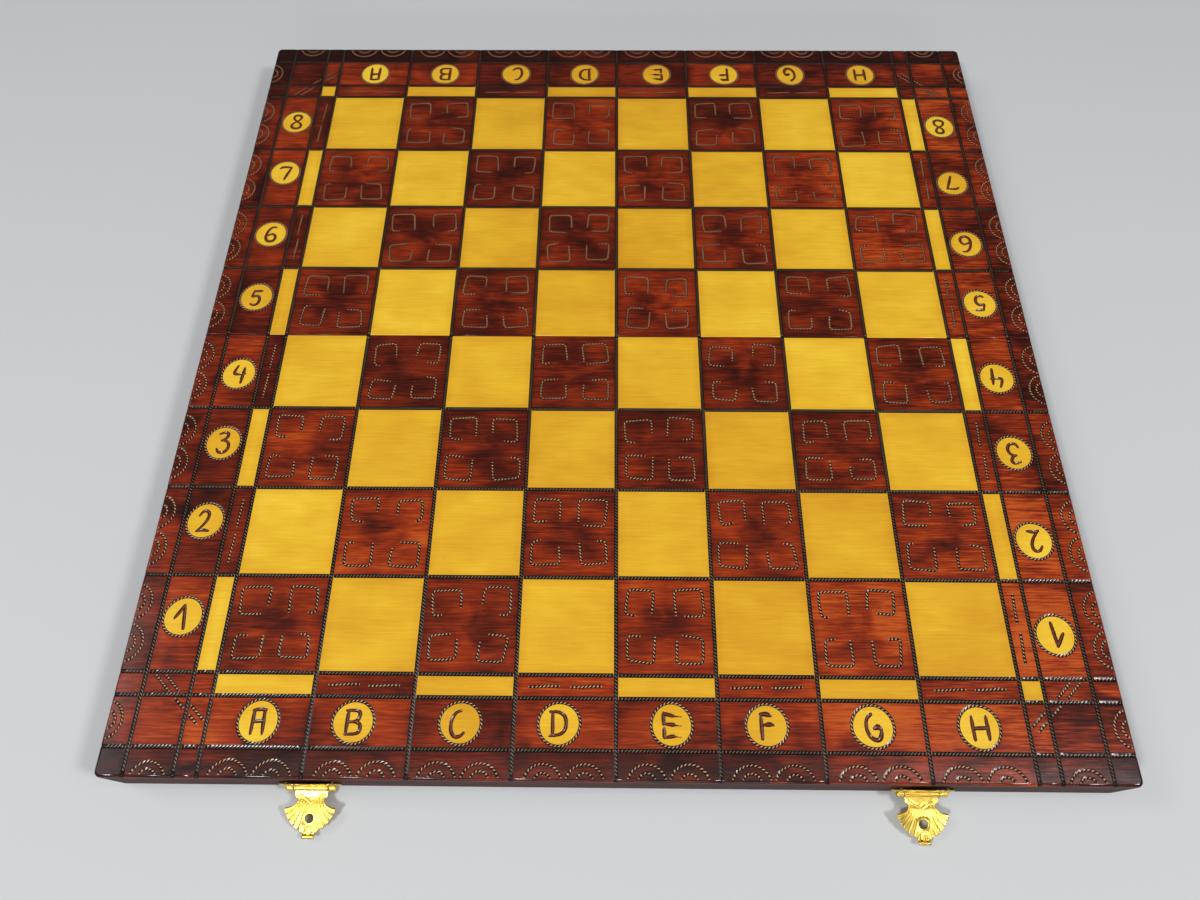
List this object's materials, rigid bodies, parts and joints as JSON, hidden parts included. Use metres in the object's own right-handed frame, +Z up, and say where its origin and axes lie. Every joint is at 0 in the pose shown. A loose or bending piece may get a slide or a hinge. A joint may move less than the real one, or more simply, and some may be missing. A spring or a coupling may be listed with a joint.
{
  "type": "folding chess board box",
  "caption": "Folding wooden chess box lying open: square playing board on hinged felt-lined trays, stained and burnt wood, brass shell clasps on the front edge.",
  "frame": {"origin": "on the fold hinges' axis, halfway along the fold, in the plane of the tray rims that the open box rests on", "axes": "+X to the right along the fold, +Y from rank 1 towards rank 8, +Z up out of the playing face"},
  "size_m": [0.4, 0.4227, 0.0238],
  "materials": {
    "stained_wood": "red-brown and golden yellow stain under gloss varnish",
    "wall_wood": "dark red-brown stain under gloss varnish",
    "felt": "matt felt",
    "hinge_brass": "satin",
    "screw_brass": "satin",
    "clasp_brass": "polished, slightly tarnished"
  },
  "bodies": {
    "front_tray": {"front_playing_panel": "stained_wood", "front_outer_wall": "wall_wood", "front_spine_wall": "wall_wood", "front_left_wall": "wall_wood", "front_right_wall": "wall_wood", "front_felt_lining": "felt", "hinge_left_front_leaf": "hinge_brass", "hinge_right_front_leaf": "hinge_brass", "hinge_left_pin": "hinge_brass", "hinge_right_pin": "hinge_brass", "hinge_screws_front": "screw_brass", "clasp_left_plate": "clasp_brass", "clasp_right_plate": "clasp_brass", "clasp_left_pin": "clasp_brass", "clasp_right_pin": "clasp_brass", "clasp_nails": "clasp_brass"},
    "back_tray": {"back_playing_panel": "stained_wood", "back_outer_wall": "wall_wood", "back_spine_wall": "wall_wood", "back_left_wall": "wall_wood", "back_right_wall": "wall_wood", "back_felt_lining": "felt", "hinge_left_back_leaf": "hinge_brass", "hinge_right_back_leaf": "hinge_brass", "hinge_screws_back": "screw_brass", "clasp_left_knob": "clasp_brass", "clasp_right_knob": "clasp_brass"},
    "left_clasp_tab": {"clasp_left_tab": "clasp_brass"},
    "right_clasp_tab": {"clasp_right_tab": "clasp_brass"}
  },
  "joints": [
    {"name": "fold", "type": "hinge", "parent": "front_tray", "child": "back_tray", "pos_m": [0, 0, 0], "axis": [1, 0, 0], "range_deg": [-180, 0]},
    {"name": "left_clasp_swing", "type": "hinge", "parent": "front_tray", "child": "left_clasp_tab", "pos_m": [-0.1203, -0.2015, 0.006], "axis": [-1, 0, 0], "range_deg": [-75, 90]},
    {"name": "right_clasp_swing", "type": "hinge", "parent": "front_tray", "child": "right_clasp_tab", "pos_m": [0.1203, -0.2015, 0.006], "axis": [-1, 0, 0], "range_deg": [-75, 90]}
  ]
}
